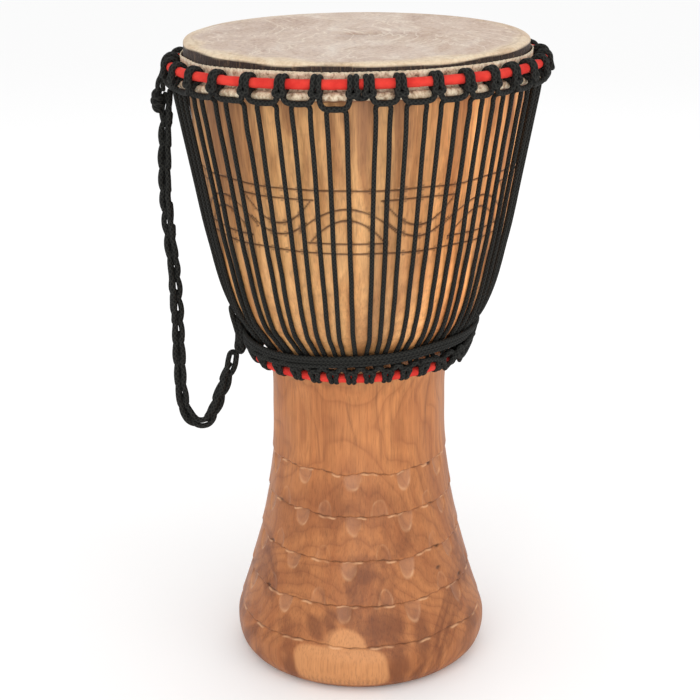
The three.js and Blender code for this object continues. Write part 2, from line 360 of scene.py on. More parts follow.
# ---- node helpers ----
class Nodes:
    """A material's node tree, with short calls for the nodes used here."""

    def __init__(self, name):
        self.material = bpy.data.materials.new(name)
        self.material.use_nodes = True
        self.tree = self.material.node_tree
        self.shader = self.tree.nodes["Principled BSDF"]

    def node(self, kind, inputs=None, **settings):
        made = self.tree.nodes.new("ShaderNode" + kind)
        for key, value in settings.items():
            setattr(made, key, value)
        for key, value in (inputs or {}).items():
            self.put(made.inputs[key], value)
        return made

    def put(self, socket, value):
        if isinstance(value, bpy.types.NodeSocket):
            self.tree.links.new(value, socket)
        else:
            socket.default_value = value

    def math(self, operation, a, b=0.5):
        made = self.node("Math", operation=operation)
        self.put(made.inputs[0], a)
        self.put(made.inputs[1], b)
        return made.outputs[0]

    def times(self, a, b):
        return self.math("MULTIPLY", a, b)

    def place(self, scale=(1, 1, 1)):
        """Positions on the object, scaled along each axis."""
        where = self.node("TexCoord").outputs["Object"]
        return self.node("Mapping", {"Vector": where, "Scale": scale}).outputs[0]

    def split(self, vector):
        return self.node("SeparateXYZ", {"Vector": vector}).outputs

    def noise(self, scale, detail=4.0, roughness=0.55, distortion=0.0, size=1.0):
        return self.node("TexNoise", {
            "Vector": self.place(scale), "Scale": size, "Detail": detail,
            "Roughness": roughness, "Distortion": distortion,
        }).outputs[0]

    def ramp(self, value, stops):
        """A colour ramp from (position, colour) stops; a grey colour may be one number."""
        made = self.node("ValToRGB", {"Fac": value})
        elements = made.color_ramp.elements
        while len(elements) < len(stops):
            elements.new(0.5)
        for element, (at, colour) in zip(elements, stops):
            element.position = at
            element.color = (*([colour] * 3 if isinstance(colour, (int, float)) else colour), 1)
        return made.outputs[0]

    def mix(self, share, a, b, blend="MIX"):
        made = self.node("Mix", data_type="RGBA", blend_type=blend)
        for index, value in ((0, share), (6, a), (7, b)):
            if isinstance(value, tuple) and len(value) == 3:
                value = (*value, 1)
            self.put(made.inputs[index], value)
        return made.outputs[2]

    def value_of(self, name):
        return self.node("Attribute", attribute_name=name).outputs["Fac"]

    def tint(self, colour, name, share, towards):
        """A colour turned towards another by a share of one of the mesh's values."""
        return self.mix(self.times(self.value_of(name), share), colour, towards)

    def bump(self, height, distance, strength=1.0, before=None):
        made = self.node("Bump", {"Height": height, "Distance": distance, "Strength": strength})
        if before is not None:
            self.put(made.inputs["Normal"], before)
        return made.outputs[0]

    def finished(self, inputs):
        """The material, with its shader's inputs set."""
        for name, value in inputs.items():
            self.put(self.shader.inputs[name], value)
        return self.material


# ---- materials ----
def growth_rings(n, x, y):
    """Late wood of the fine and the wide rings round the pith, which runs up beside the drum's own axis."""
    off_x = n.math("SUBTRACT", x, PITH_AT[0] * MM)
    off_y = n.math("SUBTRACT", y, PITH_AT[1] * MM)
    squares = n.math("ADD", n.times(off_x, off_x), n.times(off_y, off_y))
    wander = n.noise((7, 7, 5), 3, 0.5, 0.4)
    across = n.math("ADD", n.math("SQRT", squares), n.times(wander, RING_WANDER * MM))
    fine = n.math("FRACT", n.math("DIVIDE", across, RING_PITCH * MM))
    wide = n.math("FRACT", n.math("DIVIDE", across, RING_PITCH * WIDE_RINGS * MM))
    return (n.ramp(fine, [(0, 1), (0.1, 0.35), (0.55, 0), (0.9, 0.55), (1, 1)]),
            n.ramp(wide, [(0, 0.6), (0.3, 0), (0.7, 0.1), (1, 0.6)]))


def bowl_colour(n, z, streak, late):
    """Honey-coloured wood, with broad brown streaks up the grain, darker streaks towards the head, and
    painted light that brightens and warms the right side.
    """
    broad = n.noise((16, 16, 1.1), 3, 0.5, 0.3)
    bowl = n.ramp(streak, [(0.3, (0.38, 0.15, 0.05)), (0.46, (0.63, 0.305, 0.112)),
                           (0.6, (0.78, 0.42, 0.17)), (0.75, (0.54, 0.24, 0.085))])
    bowl = n.mix(n.ramp(broad, [(0.52, 0), (0.66, 0.75)]), bowl, (0.33, 0.135, 0.052))
    bowl = n.mix(n.times(late, 0.24), bowl, (0.3, 0.13, 0.052))
    # darker streaks towards the top of the bowl, below the head
    high = n.ramp(z, [(0.47, 0), (0.55, 0.85)])
    darker_near_head = n.times(high, n.ramp(streak, [(0.44, 1), (0.56, 0)]))
    bowl = n.mix(darker_near_head, bowl, (0.32, 0.14, 0.058))
    # painted light: the right side of the bowl made brighter and a little warmer
    return n.mix(n.value_of("painted_light_right"), bowl, (1.85, 1.6, 1.45), "MULTIPLY")


def foot_colour(n, z, streak, drift, late, wide):
    """Redder heartwood with darker swirls towards the floor, and the pale patch of sapwood."""
    ground = n.ramp(streak, [(0.3, (0.43, 0.148, 0.045)), (0.55, (0.535, 0.21, 0.07)),
                             (0.75, (0.47, 0.17, 0.054))])
    ground = n.mix(n.times(late, 0.5), ground, (0.25, 0.078, 0.026))
    ground = n.mix(n.times(wide, 0.6), ground, (0.29, 0.088, 0.03))
    swirl = n.noise((11, 11, 8), 7, 0.6, 2.2)
    swirled = n.mix(n.ramp(swirl, [(0.49, 0), (0.53, 0.3), (0.64, 0.75)]), ground, (0.19, 0.056, 0.019))
    low = n.ramp(n.math("ADD", z, n.times(drift, 0.08)), [(0.16, 1), (0.27, 0)])
    foot = n.mix(low, ground, swirled)
    # darker towards the floor
    grime = n.ramp(z, [(0.02, 0.42), (0.17, 0.42), (0.24, 0)])
    foot = n.mix(grime, foot, (0.56, 0.5, 0.5), "MULTIPLY")
    foot = n.tint(foot, "shade", 0.8, (0.185, 0.058, 0.02))
    pale = n.mix(n.times(late, 0.15), (0.545, 0.24, 0.092), (0.4, 0.15, 0.052))
    return n.mix(n.value_of("sapwood"), foot, pale)


def carved_marks(n, colour):
    """Scoops are greyer, chipped lips are paler with a painted highlight, hairlines are dark, and knife
    lines and digs are painted dark as shade in their grooves.
    """
    colour = n.tint(colour, "scoop", 0.42, (0.38, 0.19, 0.108))
    # paler chipped lips with a painted highlight
    colour = n.tint(colour, "rim", 0.72, (0.68, 0.38, 0.2))
    colour = n.tint(colour, "vein", 0.5, (0.15, 0.05, 0.02))
    # painted shade in knife lines, digs and nicks, and the dark ticks under the sapwood
    return n.tint(colour, "groove_shade_and_marks", 0.92, (0.045, 0.015, 0.006))


def wood_material():
    n = Nodes("carved_wood")
    x, y, z = n.split(n.place())
    drift = n.noise((3, 3, 1.2), 2, size=2.2)
    streak = n.noise((46, 46, 1.6), 5, 0.6, 0.5)
    fine = n.noise((320, 320, 9), 3, 0.6)
    pores = n.noise((900, 900, 60), 2, 0.5)
    late, wide = growth_rings(n, x, y)
    foot = foot_colour(n, z, streak, drift, late, wide)
    above_waist = n.ramp(z, [(0.29, 0), (0.33, 1)])
    colour = n.mix(above_waist, foot, bowl_colour(n, z, streak, late))
    grain = n.ramp(z, [(0.12, 0.3), (0.32, 0.6)])
    colour = n.mix(grain, colour, n.ramp(fine, [(0.35, 0.66), (0.6, 1)]), "MULTIPLY")
    colour = n.mix(0.25, colour, n.ramp(pores, [(0.35, 0.3), (0.5, 1)]), "MULTIPLY")
    polish = n.math("ADD", n.times(fine, 0.5), n.times(drift, 0.5))
    normal = n.bump(fine, 0.00025, 0.7)
    normal = n.bump(pores, 0.0002, 0.5, normal)
    return n.finished({
        "Base Color": carved_marks(n, colour),
        "Roughness": n.ramp(polish, [(0.3, 0.4), (0.7, 0.56)]),
        "Normal": n.bump(streak, 0.0012, 0.5, normal),
        "Specular IOR Level": 0.28,
    })


def face_colour(n, cloud):
    """The playing face: stained clouds, darker to the right, with pale veins and a cream edge."""
    blotch = n.noise((15, 8, 9), 6, 0.6, 1.4)
    vein = n.noise((8, 5, 5), 5, 0.55, 2.2)
    head = n.ramp(blotch, [(0.32, (0.36, 0.245, 0.205)), (0.5, (0.525, 0.405, 0.345)),
                           (0.66, (0.63, 0.55, 0.49))])
    head = n.mix(n.ramp(cloud, [(0.4, 0), (0.7, 0.45)]), head, (0.43, 0.3, 0.235))
    x = n.split(n.place())[0]
    head = n.mix(n.ramp(x, [(0, 0), (0.14, 1)]), head, (0.84, 0.74, 0.68), "MULTIPLY")
    head = n.mix(n.ramp(vein, [(0.488, 0), (0.5, 0.7), (0.512, 0)]), head, (0.76, 0.68, 0.58))
    edge = n.ramp(cloud, [(0.3, (0.74, 0.62, 0.45)), (0.6, (0.63, 0.48, 0.32)), (0.75, (0.45, 0.3, 0.18))])
    head = n.mix(n.value_of("cream"), head, edge)
    return n.tint(head, "crease", 0.65, (0.3, 0.17, 0.09))


def collar_colour(n, colour, mottle, hairs):
    """The skin below the playing face: its collar and lip, the roll round the flesh ring with painted shade
    on its underside, and the hair with painted shade in the gap behind the collar.
    """
    collar = n.ramp(mottle, [(0.36, (0.2, 0.11, 0.07)), (0.44, (0.52, 0.36, 0.24)),
                             (0.56, (0.74, 0.58, 0.42)), (0.68, (0.88, 0.78, 0.6))])
    colour = n.mix(n.value_of("collar"), colour, collar)
    colour = n.tint(colour, "lip", 0.75, (0.74, 0.63, 0.46))
    bulge = n.ramp(mottle, [(0.34, (0.16, 0.09, 0.055)), (0.46, (0.47, 0.34, 0.22)),
                            (0.62, (0.7, 0.6, 0.44))])
    colour = n.mix(n.value_of("bulge"), colour, bulge)
    # painted shade on the underside of the roll
    colour = n.mix(n.value_of("roll_underside_shade"), colour, (0.22, 0.09, 0.04))
    # dark hair, and painted shade of the gap between the rim and the collar
    hair_and_gap_shade = n.ramp(hairs, [(0.35, (0.012, 0.006, 0.004)), (0.55, (0.03, 0.015, 0.009)),
                          (0.72, (0.15, 0.09, 0.05))])
    return n.mix(n.value_of("hair_and_gap_shade"), colour, hair_and_gap_shade)


def skin_material():
    n = Nodes("rawhide")
    cloud = n.noise((36, 18, 30), 5, 0.62, 1.2)
    speck = n.noise((700, 700, 700), 3, 0.6)
    hairs = n.noise((600, 600, 90), 3, 0.7)
    mottle = n.noise((260, 260, 190), 4, 0.7, 0.4)
    normal = n.bump(speck, 0.00012, 0.5)
    normal = n.bump(mottle, 0.0009, n.times(n.value_of("collar"), 0.7), normal)
    normal = n.bump(hairs, 0.0012, n.times(n.value_of("hair_and_gap_shade"), 0.9), normal)
    return n.finished({
        "Base Color": collar_colour(n, face_colour(n, cloud), mottle, hairs),
        "Roughness": n.ramp(cloud, [(0.3, 0.5), (0.7, 0.65)]),
        "Normal": n.bump(cloud, 0.0006, 0.35, normal),
        "Specular IOR Level": 0.3,
        "Subsurface Weight": 0.08,
        "Subsurface Radius": (0.004, 0.002, 0.001),
    })


def cloth_material():
    n = Nodes("red_cotton")
    u, v, _ = n.split(n.node("TexCoord").outputs["UV"])
    warp = n.math("SINE", n.times(u, 2 * math.pi * 60))
    weft = n.math("SINE", n.times(v, 2 * math.pi * 14))
    weave = n.times(warp, weft)
    shade = n.noise((60, 60, 60), 4)
    colour = n.ramp(shade, [(0.3, (0.56, 0.022, 0.016)), (0.6, (0.74, 0.05, 0.034))])
    colour = n.mix(n.ramp(weave, [(0, 0.14), (0.6, 0)]), colour, (0.34, 0.005, 0.004))
    normal = n.bump(weave, 0.00012, 0.6)
    return n.finished({"Base Color": colour, "Roughness": 0.82, "Specular IOR Level": 0.2, "Normal": normal})


def rope_material():
    """Black braid: two families of strands crossing, from the cord's own turns-and-diameters map."""
    n = Nodes("black_braid")
    u, v, _ = n.split(n.node("TexCoord").outputs["UV"])
    turns = n.times(u, 2 * math.pi * 4)
    lay = n.times(v, 2 * math.pi * 1.1)
    one = n.math("SINE", n.math("ADD", turns, lay))
    other = n.math("SINE", n.math("SUBTRACT", turns, lay))
    braid = n.math("MAXIMUM", one, other)
    fibre = n.noise((900, 900, 900), 3, 0.7)
    colour = n.ramp(braid, [(0, (0.004, 0.004, 0.004)), (0.55, (0.011, 0.011, 0.01)),
                            (1, (0.022, 0.022, 0.019))])
    colour = n.mix(n.ramp(fibre, [(0.45, 0), (0.75, 0.3)]), colour, (0.04, 0.04, 0.035))
    normal = n.bump(fibre, 0.0002, 0.5, n.bump(braid, 0.0004, 0.8))
    return n.finished({"Base Color": colour, "Roughness": 0.8, "Specular IOR Level": 0.16, "Normal": normal})


def steel_material():
    n = Nodes("bare_steel")
    scratch = n.noise((40, 40, 900), 3)
    colour = n.ramp(scratch, [(0.3, 0.2), (0.7, 0.34)])
    rough = n.ramp(scratch, [(0.3, 0.35), (0.7, 0.55)])
    return n.finished({"Base Color": colour, "Roughness": rough, "Metallic": 1.0})


def floor_material():
    return Nodes("pale_floor").finished({
        "Base Color": (0.93, 0.93, 0.93, 1), "Roughness": 0.9, "Specular IOR Level": 0,
    })


WOOD = wood_material()
SKIN = skin_material()
CLOTH = cloth_material()
ROPE = rope_material()
STEEL = steel_material()


# ---- shell ----
def waves(deg, z, amplitude, seed):
    """A few gentle waves over the surface, as a hand-held adze leaves it."""
    rng = np.random.default_rng(seed)
    total = np.zeros(np.broadcast(deg, z).shape)
    for _ in range(9):
        rounds = rng.integers(2, 15)
        rise = rng.uniform(0.01, 0.07)
        total += np.sin(np.radians(deg) * rounds + z * rise + rng.uniform(0, 6.3))
    return amplitude * total / 3


def line_at(offset, width):
    return np.exp(-((offset / width) ** 2))


def wrap_deg(deg):
    return (deg + 180) % 360 - 180


def band_lines(deg, z):
    """How deep the knife lines of the bowl's band are, from 0 to 1: double rings with arches between."""
    pitch = 360 / BAND_REPEATS
    from_arch = (deg - BAND_ARCH_DEG + pitch / 2) % pitch - pitch / 2
    from_dip = (deg - BAND_ARCH_DEG) % pitch - pitch / 2
    shake = waves(deg, 0 * z, 0.45, 3)
    arch = abs(from_arch)
    dip = abs(from_dip)
    second_z, second_half = BAND_SECOND
    under_z, under_half = BAND_UNDER_ARCH
    lines = [
        line_at(z - BAND_TOP_Z - shake, KNIFE_W),
        line_at(z - second_z - shake, KNIFE_W) * (dip < second_half),
        line_at(z - BAND_BOTTOM_Z + shake, KNIFE_W),
        line_at(z - under_z + shake, KNIFE_W) * (arch < under_half),
    ]
    for top_z, bow, half, thin in ARCHES:
        lines.append(line_at((z - top_z + bow * arch**2 - shake) * thin, KNIFE_W) * (arch < half))
    for low_z, bow, half, thin in DIPS:
        lines.append(line_at((z - low_z - bow * dip**2 + shake) * thin, KNIFE_W) * (dip < half))
    return np.max(lines, axis=0)


def gouge_angles():
    gap = (360 + GOUGE_FRONT[0] - GOUGE_FRONT[-1]) / (GOUGES_BEHIND + 1)
    return GOUGE_FRONT + [GOUGE_FRONT[-1] + gap * (i + 1) for i in range(GOUGES_BEHIND)]


def scoop(deg, z, r, at_deg, at_z, half_width, height, seed):
    """Inside measure of one gouge: 1 in its middle, 0 on its outline. height below 0 hangs from at_z."""
    rng = np.random.default_rng(seed)
    off = np.radians(wrap_deg(deg - at_deg - rng.uniform(-1.2, 1.2)))
    a = off * r / (half_width * rng.uniform(0.88, 1.1))
    b = (z - at_z) / (height * rng.uniform(0.85, 1.1))
    return np.where(b > 0, 1 - a**2 - np.abs(b) ** 2.2, -1)


def carve_tier_line(carved, deg, off, tier):
    """The ragged line where one tier steps to the next, painted dark as shade in its groove, with chips
    along it that are paler and carry a painted highlight; off is the height above it.
    """
    a = np.radians(deg)
    ragged = np.clip(0.5 + 0.28 * np.sin(a * 13 + tier * 2.1) + 0.28 * np.sin(a * 29 + tier), 0.05, 1)
    carved["depth"] += 0.6 * line_at(off, 0.7) + 0.9 * ragged * line_at(off, 0.6)
    carved["depth"] += np.where(off < 0, 1.1 * np.exp(off / 9), -0.6 * np.exp(-off / 9))
    line = line_at(off - 0.2, 0.35 + 0.4 * ragged) * (0.3 + 0.65 * ragged)
    # painted shade in the groove of the line
    carved["groove_shade_and_marks"] = np.maximum(carved["groove_shade_and_marks"], line)
    chipped = clamp(np.sin(a * 17 + tier * 1.3) + 0.6 * np.sin(a * 41 + tier))
    # painted highlight on the chipped lip below the line, over paler chipped wood
    carved["rim"] = np.maximum(carved["rim"], line_at(off + 1.5, 0.8) * chipped)
    carved["depth"] -= 0.5 * chipped * line_at(off + 1.8, 0.9)


def tier_scoops(tier, edge):
    """(angle, height, half width, length, depth) of the scoops that hang from a line or stand on it."""
    angles = gouge_angles()
    scoops = []
    if tier < len(TIER_Z) - 1:
        scoops += [(angle + TIER_SHIFT[tier], edge - 0.5, *HANGING_SCOOP) for angle in angles]
    if 0 < tier < len(TIER_Z) - 1:
        scoops += [(angle + STANDING_SHIFT, edge + 0.8, *STANDING_SCOOP) for angle in angles]
    return scoops


def carve_scoops(carved, deg, z, r, tier, edge):
    """Hollow out a tier's scoops, each with a chipped lip that is paler and carries a painted highlight,
    strongest low on a hanging scoop.
    """
    for k, (angle, at_z, half_width, height, deep) in enumerate(tier_scoops(tier, edge)):
        measure = scoop(deg, z, r, angle, at_z, half_width, height, 100 * tier + k)
        bowl = clamp(measure)
        fade = 0.55 + 0.45 * math.sin(7.3 * k + tier * 2.9)
        strength = (0.55 + 0.45 * fade) if height < 0 else 0.35 * fade
        carved["depth"] += deep * bowl**0.6
        carved["scoop"] = np.maximum(carved["scoop"], clamp(bowl * 3.5) * strength)
        tip = clamp((at_z - z) / abs(height)) if height < 0 else 1.1
        uneven = 0.6 + 0.3 * np.sin(np.radians(deg) * 37 + z * 0.4 + k) + 0.2 * math.sin(3.1 * k + tier)
        lit = clamp(uneven) * (0.3 + 0.7 * strength)
        # painted highlight on the scoop's lip, strongest towards a hanging scoop's lower end
        lip = line_at(measure - 0.12, 0.15) * np.clip(tip, 0, 0.8) * lit
        carved["rim"] = np.maximum(carved["rim"], lip)


def foot_carving(deg, z, r):
    """Depth in mm, and how much of each spot is a knife cut or dig painted dark as shade, a scoop, and a
    chipped lip that is paler with a painted highlight.
    """
    carved = {key: np.zeros_like(z) for key in ("depth", "groove_shade_and_marks", "scoop", "rim")}
    for tier, tier_z in enumerate(TIER_Z):
        edge = tier_z + waves(deg, 0 * z, 1.2, 20 + tier) + 0.35 * np.sin(np.radians(deg) * 53 + tier)
        carve_tier_line(carved, deg, z - edge, tier)
        carve_scoops(carved, deg, z, r, tier, edge)
    for at_deg, at_z in DIGS:
        off = np.hypot(np.radians(wrap_deg(deg - at_deg)) * r / 3.2, (z - at_z) / 1.7)
        # painted shade in the dug hole
        carved["groove_shade_and_marks"] = np.maximum(carved["groove_shade_and_marks"], 0.85 * clamp(1.4 - off))
        carved["depth"] += 0.9 * clamp(1.3 - off)
    return carved


def band_chips(deg, band):
    """Pale splinters with a painted highlight left along the upper side of the knife lines, and nicks where
    the knife slipped, painted dark as shade.
    """
    a = np.radians(deg)
    broken = np.sin(a * 31) + np.sin(a * 47 + 2) + np.sin(a * 83 + 1)
    # pale splinters with a painted highlight
    pale = np.roll(band, 2, axis=0) * clamp(broken - 0.9)
    beside = np.maximum(np.roll(band, 3, axis=0), np.roll(band, -3, axis=0))
    return pale, 0.7 * (beside * (np.sin(a * 59 + 4) > 0.86))


def sapwood_share(deg, z):
    """The pale patch of sapwood low in front, and its dome over the lowest line."""
    at_deg, at_z, wide, high = SAPWOOD
    patch = (wrap_deg(deg - at_deg + z / SAPWOOD_SLANT) / wide) ** 6 + ((z - at_z) / high) ** 4
    at_deg, at_z, wide, high = SAPWOOD_DOME
    dome = (wrap_deg(deg - at_deg) / wide) ** 2 + ((z - at_z) / high) ** 2
    soft = np.clip((deg + 20) % 360 / 12, 0.3, 1)
    return clamp(np.maximum((1.1 - patch) * 2.2, (1.05 - dome) * 3 * soft))


def shadow_share(deg, z):
    """How dark the heartwood's patches make each spot."""
    shade = np.zeros_like(z)
    for at_deg, at_z, wide, high in SHADOWS:
        spot = (wrap_deg(deg - at_deg) / wide) ** 2 + ((z - at_z) / high) ** 2
        spot = spot + 0.25 * waves(deg * 3, z * 3, 1, 61)
        shade = np.maximum(shade, clamp(1.25 - spot))
    return shade


def vein_share(deg, z, r):
    """How much of each spot is a dark hairline."""
    vein = np.zeros_like(z)
    for deg_low, z_low, deg_high, z_high in VEINS:
        share = (z - z_low) / (z_high - z_low)
        at = deg_low + (deg_high - deg_low) * share + 0.5 * np.sin(z / 9)
        ends = clamp(share * 8) * clamp((1 - share) * 8)
        vein = np.maximum(vein, line_at(np.radians(wrap_deg(deg - at)) * r, 0.75) * ends)
    return vein


def outer_wall(deg):
    """Radii and heights of the carved outside, and the values that its material reads."""
    rows = np.concatenate([
        np.linspace(0, 21, 15), np.arange(22, 216, 0.75), np.arange(217, 427, 3.5),
        np.arange(427, 498, 0.6), np.arange(500, 594, 4), [595.5, 596.6, 597.4, 598, 598.4, 598.7],
    ])
    D, Z = np.meshgrid(deg, rows)
    R = np.broadcast_to(shell_radius(rows)[:, None], Z.shape).copy()
    carved = foot_carving(D, Z, R)
    band = band_lines(D, Z)
    chips_and_highlight, nicks = band_chips(D, band)
    depth = carved["depth"] + 1.3 * band + 0.8 * nicks - 0.5 * chips_and_highlight
    # painted shade in the knife lines, digs and nicks
    groove_shade_and_marks = np.maximum(carved["groove_shade_and_marks"], np.maximum(band, nicks))
    calm = clamp((595 - Z) / 20) * clamp(Z / 8)
    R += (waves(D, Z, 0.35, 5) - depth) * calm
    sap = sapwood_share(D, Z)
    values = {
        # with the painted groove shade, dark ticks at the foot of the sapwood patch
        "groove_shade_and_marks": np.maximum(groove_shade_and_marks, 0.3 * sap * line_at(Z - 9, 6) * (np.sin(np.radians(D) * 171) > 0.3)),
        "scoop": carved["scoop"],
        # paler chipped lips with a painted highlight
        "rim": clamp(np.maximum(carved["rim"], chips_and_highlight)),
        "sapwood": sap,
        "shade": shadow_share(D, Z),
        "vein": vein_share(D, Z, R),
        # painted light on the right side of the bowl
        "painted_light_right": clamp((wrap_deg(D) - 12) / 30) * clamp((150 - wrap_deg(D)) / 40),
    }
    return R, Z, values


def inner_wall():
    """Radii and heights from the bearing edge down the inside to the floor."""
    inside = np.array(SHELL_INSIDE[::-1], float)
    edge = np.array([[150.4, 598.8], [147.5, 597.2], [145, 594.8]])
    z = np.concatenate([np.arange(592, 2, -8), [0]])
    r = hermite(z, inside[:, 1], inside[:, 0])
    return np.concatenate([edge[:, 0], r]), np.concatenate([edge[:, 1], z])


def build_shell():
    columns = 600
    deg = np.arange(columns) * 360 / columns
    R, Z, values = outer_wall(deg)
    inner_r, inner_z = inner_wall()
    inside = around(deg[None, :], inner_r[:, None], inner_z[:, None])
    vertices = np.concatenate([around(deg[None, :], R, Z), inside])
    blank = np.zeros(inside.shape[:2])
    values = {key: np.concatenate([outside, blank]) for key, outside in values.items()}
    faces = grid_faces(len(vertices), columns, wrap_rows=True)
    piece = make_piece("shell_carved", vertices, faces, WOOD, values=values)
    return stands_for(piece, "drum", "shell")


# ---- drumhead ----
def between_hitches(deg):
    """1 halfway between two hitches and 0 at a hitch."""
    angles = np.array(hitch_angles())
    angles = np.sort((angles + 360) % 360)
    ring = np.concatenate([[angles[-1] - 360], angles, [angles[0] + 360]])
    i = np.searchsorted(ring, deg % 360, side="right") - 1
    share = (deg % 360 - ring[i]) / (ring[i + 1] - ring[i])
    return np.sin(np.pi * share) ** 0.8


# The skin's profile: flat to its edge, (radius, height) down the rim, turned round the flesh ring by these
# angles, and (radius, height) up the collar.
FLAT_R = (0.01, 30, 60, 85, 105, 120, 132, 138, 142, 144.5, 146, 147.3, 148.5, 149.6)
RIM = [(151.6, HEAD_Z - 0.6), (153.1, HEAD_Z - 1.1), (154.2, HEAD_Z - 2), (154.7, HEAD_Z - 3),
       (154.7, HEAD_Z - 3.8), (154.5, HEAD_Z - 5.5), (154.9, 590.5), (155.2, 586), (155.5, 581),
       (155.9, 577), (157.4, 572.6), (159.6, 569.4)]
ROLL = np.radians(np.linspace(215, 468, 18))
COLLAR = [(160.4, 573.6), (158.4, 577), (157.6, 580.5), (157.4, 583.5), (157.4, 586.5)]
FIRST_RIM = len(FLAT_R)
FIRST_ROLL = FIRST_RIM + len(RIM)
FIRST_COLLAR = FIRST_ROLL + len(ROLL)


def head_profile(deg):
    """Radii and heights of the skin's middle layer, row by row from the middle of the head to its lip."""
    free = between_hitches(deg)
    line = []
    for k, (r, z) in enumerate([(r, HEAD_Z - 0.4) for r in FLAT_R] + RIM):
        ripple = 0.35 * waves(deg, 0, 1, 33) * (FIRST_RIM - 1 <= k < FIRST_RIM + 4)
        line.append((r + ripple, np.full(len(deg), z)))
    crease = waves(deg, 0, 0.3, 31) + 0.3 * np.sin(np.radians(deg) * 97) * free
    for a in ROLL:
        outer = clamp(np.cos(a) + 0.35)
        swell = 3.1 + (1.0 * free + crease) * outer
        snug = 0.15 if np.sin(a) > 0 else -0.13
        rise = 0.6 * outer * free + swell * np.sin(a) * (1 + snug * free)
        line.append((FLESH_R + swell * np.cos(a), FLESH_Z + rise))
    a = np.radians(deg)
    ragged = waves(deg, 0, 0.55, 41) + 0.45 * np.sin(a * 211) * np.sin(a * 63 + 1)
    sway = waves(deg, 0, 0.35, 43)
    for r, z in COLLAR:
        share = clamp((z - 576) / 13)
        line.append((r + sway * share, z + 0.3 * ragged * share))
    line.append((157.6 + sway, 589.7 + ragged))
    R = np.array([r for r, _ in line])
    Z = np.array([z for _, z in line])
    dome = waves(deg, 0, 0.1, 47)[None, :] * clamp(R / 150)
    return R, Z + np.where(R < 150, dome, 0)


def head_marks(deg, R, Z):
    """The values that the skin's material reads, for each point of its profile."""
    index = np.arange(len(R))[:, None]
    everywhere = np.ones_like(R)
    wiggle = waves(deg, 0, 1, 51)
    on_top = index < FIRST_RIM + 6
    on_roll = (index >= FIRST_ROLL) & (index < FIRST_COLLAR)
    in_front = np.clip(0.75 + 0.7 * np.cos(np.radians(deg)), 0.2, 1)
    worn = np.clip(0.55 + waves(deg, 0, 0.7, 57), 0.1, 1)
    cos_a, sin_a = np.zeros(index.shape), np.zeros(index.shape)
    cos_a[FIRST_ROLL:FIRST_COLLAR, 0] = np.cos(ROLL)
    sin_a[FIRST_ROLL:FIRST_COLLAR, 0] = np.sin(ROLL)
    shorn_z = HEAD_Z - 2.7 + 0.6 * wiggle
    return {
        "cream": clamp((R - 139 - 4.5 * wiggle) / 9) * on_top * in_front,
        # dark hair, and painted shade in the gap behind the collar
        "hair_and_gap_shade": clamp((shorn_z - Z) / 0.9) * ((index >= FIRST_RIM + 2) & (index < FIRST_ROLL)),
        "collar": (index >= FIRST_COLLAR - 3) * everywhere,
        "lip": clamp((Z - 587.2) / 1.2) * (index >= FIRST_COLLAR),
        "bulge": clamp(cos_a * 2 + sin_a * 1.2 + 0.3) * everywhere,
        # painted shade under the roll
        "roll_underside_shade": (on_roll & (sin_a < -0.45)) * everywhere,
        "crease": line_at(R - 146.5 - 1.5 * wiggle, 0.9) * worn * on_top,
    }


def build_drumhead():
    columns = 1080
    deg = np.arange(columns) * 360 / columns
    R, Z = head_profile(deg)
    along_r = np.gradient(R, axis=0)
    along_z = np.gradient(Z, axis=0)
    reach = SKIN_THICK / 2 / np.hypot(along_r, along_z)
    outside = around(deg[None, :], R - along_z * reach, Z + along_r * reach)
    inside = around(deg[None, :], R + along_z * reach, Z - along_r * reach)
    vertices = lean(np.concatenate([outside, inside[::-1]]))
    marks = head_marks(deg, R, Z)
    values = {key: np.concatenate([mark, mark[::-1]]) for key, mark in marks.items()}
    faces = grid_faces(len(vertices), columns, wrap_rows=True)[:, ::-1]
    piece = make_piece("drumhead_rawhide", vertices, faces, SKIN, values=values)
    return stands_for(piece, "drum", "drumhead_skin")


# ---- rings ----
def build_cloth(name, ring_r, ring_z, turns, node, seed):
    """A strip of cloth wound round a ring, each turn lapping over the one before."""
    columns, sides = 900, 22
    deg = np.arange(columns) * 360 / columns
    a = np.radians(np.arange(sides) * 360 / sides)
    rng = np.random.default_rng(seed)
    D, A = np.meshgrid(deg, a, indexing="ij")
    lap = (D / 360 * turns + A / (2 * math.pi)) % 1
    tight = waves(D, A * 8, 0.12, rng.integers(1000))
    radius = CLOTH_R - 0.35 + 0.4 * lap**0.6 + tight
    vertices = around(D, ring_r + radius * np.cos(A), ring_z + radius * np.sin(A))
    vertices = lean(vertices) if ring_z > LEAN_FULL_Z else base_lean(vertices)
    faces = grid_faces(columns, sides, wrap_rows=True)[:, ::-1]
    c = faces // sides
    s = faces % sides
    u = np.where((c == 0) & (c.max(axis=1, keepdims=True) > 1), columns, c) / columns * 40
    v = np.where((s == 0) & (s.max(axis=1, keepdims=True) > 1), sides, s) / sides
    piece = make_piece(name, vertices, faces, CLOTH, uv=np.stack([u, v], axis=2))
    return stands_for(piece, "drum", node)


# ---- ropes ----
def sideways(deg, ring_r, rows, sign):
    """Points from rows of [mm to the side, radius, height], on one side of an angle."""
    rows = np.array(rows, float)
    return around(deg + sign * np.degrees(rows[:, 0] / ring_r), rows[:, 1], rows[:, 2])


def scallop_rise(middle_deg):
    """How much higher the other scallops hang than the slack one left of the double hitch."""
    return SLACK_RISE if abs(wrap_deg(middle_deg) - SLACK_DEG) < 5 else SCALLOP_RISE


